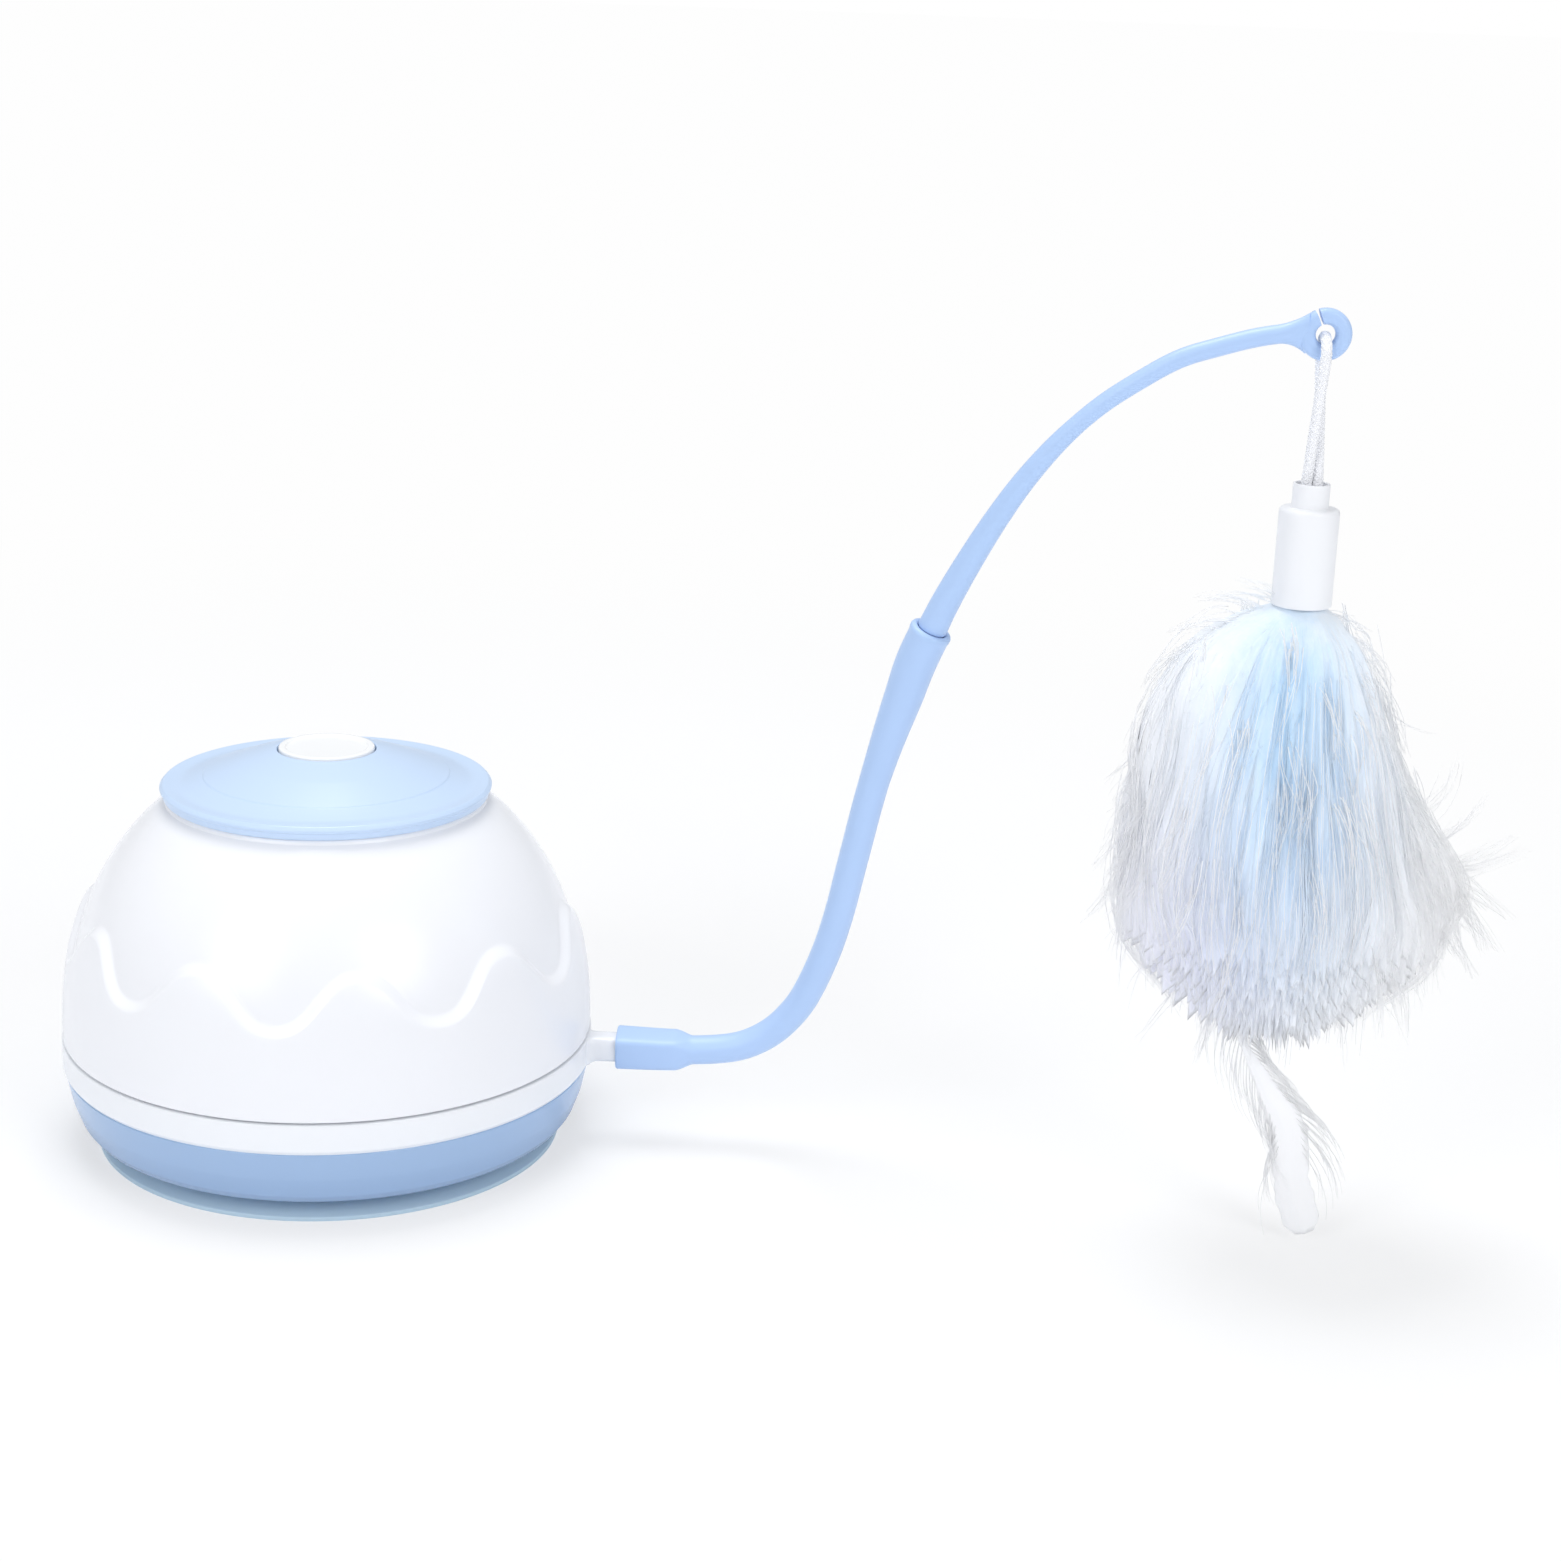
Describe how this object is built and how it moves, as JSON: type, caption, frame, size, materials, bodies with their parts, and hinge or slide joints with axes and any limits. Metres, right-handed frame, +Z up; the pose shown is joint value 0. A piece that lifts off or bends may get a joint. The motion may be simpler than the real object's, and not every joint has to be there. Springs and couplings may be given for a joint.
{
  "type": "electric cat teaser",
  "caption": "Domed electric cat teaser on a suction cup, with a geared turning ring, a curved plug-on wand and a feather lure hung on a cord loop.",
  "frame": {"origin": "on the floor, at the centre of the suction cup, under the axis that the ring turns about", "axes": "+Z up along the ring's axis; +X along the ring's stub, the way that the wand reaches out at rest; +Y to the back, where the charging socket is"},
  "size_m": [0.2785, 0.1116, 0.1755],
  "materials": {
    "bowl_blue": "satin",
    "cup_blue": "satin",
    "board_green": "matte",
    "socket_steel": "satin",
    "pack_wrap": "satin",
    "shell_white": "gloss",
    "acetal": "satin",
    "motor_steel": "satin",
    "end_cap_white": "satin",
    "shaft_steel": "satin",
    "disc_blue": "satin",
    "button_white": "satin",
    "switch_black": "satin",
    "lead_red": "satin",
    "lead_blue": "satin",
    "lead_black": "satin",
    "wand_blue": "satin",
    "cord_white": "matte",
    "cap_white": "satin",
    "feather_white": "matte",
    "feather_blue": "matte",
    "screw_steel": "satin"
  },
  "bodies": {
    "housing": {"base_bowl": "bowl_blue", "suction_cup": "cup_blue", "main_board": "board_green", "usb_socket": "socket_steel", "battery_pack": "pack_wrap", "chassis_plate": "acetal", "gear_cover": "acetal", "motor_can": "motor_steel", "motor_end_cap": "end_cap_white", "idler_pin": "shaft_steel", "dome_shell": "shell_white", "top_disc": "disc_blue", "switch_board": "board_green", "switch_body": "switch_black", "motor_lead": "lead_red", "switch_lead": "lead_blue", "battery_lead": "lead_black", "base_screw_1": "screw_steel", "base_screw_2": "screw_steel", "base_screw_3": "screw_steel", "dome_screw_1": "screw_steel", "dome_screw_2": "screw_steel", "dome_screw_3": "screw_steel", "disc_screw_1": "screw_steel", "disc_screw_2": "screw_steel", "disc_screw_3": "screw_steel", "switch_screw_1": "screw_steel", "switch_screw_2": "screw_steel", "cover_screw_1": "screw_steel", "cover_screw_2": "screw_steel", "cover_screw_3": "screw_steel", "board_screw_1": "screw_steel", "board_screw_2": "screw_steel"},
    "ring": {"wand_ring": "shell_white"},
    "output": {"output_shaft": "shaft_steel", "output_gear": "acetal", "drive_pinion": "acetal"},
    "idler": {"idler_gear": "acetal"},
    "rotor": {"motor_shaft": "shaft_steel", "motor_pinion": "acetal"},
    "button": {"power_button": "button_white", "switch_plunger": "switch_black"},
    "wand_base": {"wand_lower": "wand_blue"},
    "wand_tip": {"wand_upper": "wand_blue"},
    "loop": {"cord_loop": "cord_white"},
    "lure": {"lure_cap": "cap_white", "outer_feathers": "feather_white", "inner_feathers": "feather_blue", "tail_feather": "feather_white"}
  },
  "joints": [
    {"name": "ring_spin", "type": "hinge", "parent": "housing", "child": "ring", "pos_m": [0, 0, 0.01935], "axis": [0, 0, 1], "continuous": true},
    {"name": "output_spin", "type": "hinge", "parent": "housing", "child": "output", "pos_m": [0, 0.03, 0.0265], "axis": [0, 0, 1], "continuous": true},
    {"name": "idler_spin", "type": "hinge", "parent": "housing", "child": "idler", "pos_m": [0.00761, 0.01369, 0.03], "axis": [0, 0, 1], "continuous": true},
    {"name": "rotor_spin", "type": "hinge", "parent": "housing", "child": "rotor", "pos_m": [0.00178, 0.00118, 0.033], "axis": [0, 0, 1], "continuous": true},
    {"name": "button_press", "type": "slide", "parent": "housing", "child": "button", "axis": [0, 0, -1], "range_m": [0, 0.001], "stiffness_N_per_m": 800, "springref_m": -0.0006},
    {"name": "wand_pull", "type": "slide", "parent": "ring", "child": "wand_base", "axis": [1, 0, 0], "range_m": [0, 0.012]},
    {"name": "tip_pull", "type": "slide", "parent": "wand_base", "child": "wand_tip", "axis": [0.3671, -0.2013, 0.9081], "range_m": [0, 0.013]},
    {"name": "loop_swing", "type": "hinge", "parent": "wand_tip", "child": "loop", "pos_m": [0.181, -0.03352, 0.171], "axis": [0, 1, 0], "range_deg": [-60, 20]},
    {"name": "lure_tilt", "type": "hinge", "parent": "loop", "child": "lure", "pos_m": [0.181, -0.03352, 0.1439], "axis": [1, 0, 0], "range_deg": [-25, 25]}
  ],
  "couplings": [
    {"joint": "output_spin", "follows": "ring_spin", "ratio": 3.5},
    {"joint": "idler_spin", "follows": "ring_spin", "ratio": -10.5},
    {"joint": "rotor_spin", "follows": "ring_spin", "ratio": 37.8}
  ]
}
